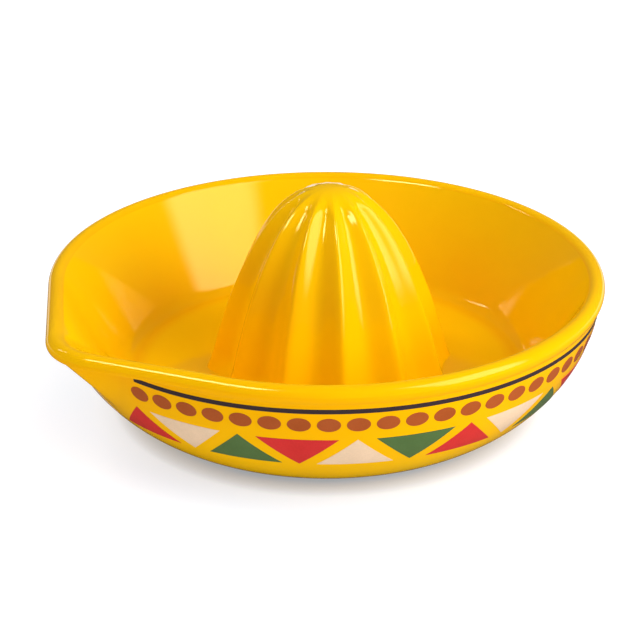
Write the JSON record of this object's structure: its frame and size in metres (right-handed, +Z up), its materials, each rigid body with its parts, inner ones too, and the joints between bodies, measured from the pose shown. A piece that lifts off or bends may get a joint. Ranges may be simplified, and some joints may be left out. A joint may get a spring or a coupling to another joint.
{
  "type": "citrus juicer",
  "caption": "Shallow round ceramic bowl with a drawn-out pouring spout and a tall fluted reamer cone on its floor, for pressing citrus halves by hand; printed band outside.",
  "frame": {"origin": "on the axis of the round bowl, in the plane that its foot ring stands on", "axes": "+Z up along the bowl's axis; -X towards the pouring spout; the XZ plane is the plane of symmetry of the bowl and cone"},
  "size_m": [0.16, 0.15, 0.061],
  "materials": {
    "yellow_glaze": "glossy yellow glaze",
    "bare_clay": "unglazed fired clay",
    "stripe_print": "fired brown-black print",
    "dot_print": "fired terracotta print",
    "red_print": "fired red print",
    "cream_print": "fired cream print",
    "green_print": "fired green print"
  },
  "bodies": {
    "root": {"bowl": "yellow_glaze", "reamer_cone": "yellow_glaze", "foot_ring": "bare_clay", "rim_stripe": "stripe_print", "dot_row": "dot_print", "red_triangles": "red_print", "cream_triangles": "cream_print", "green_triangles": "green_print"}
  },
  "joints": []
}
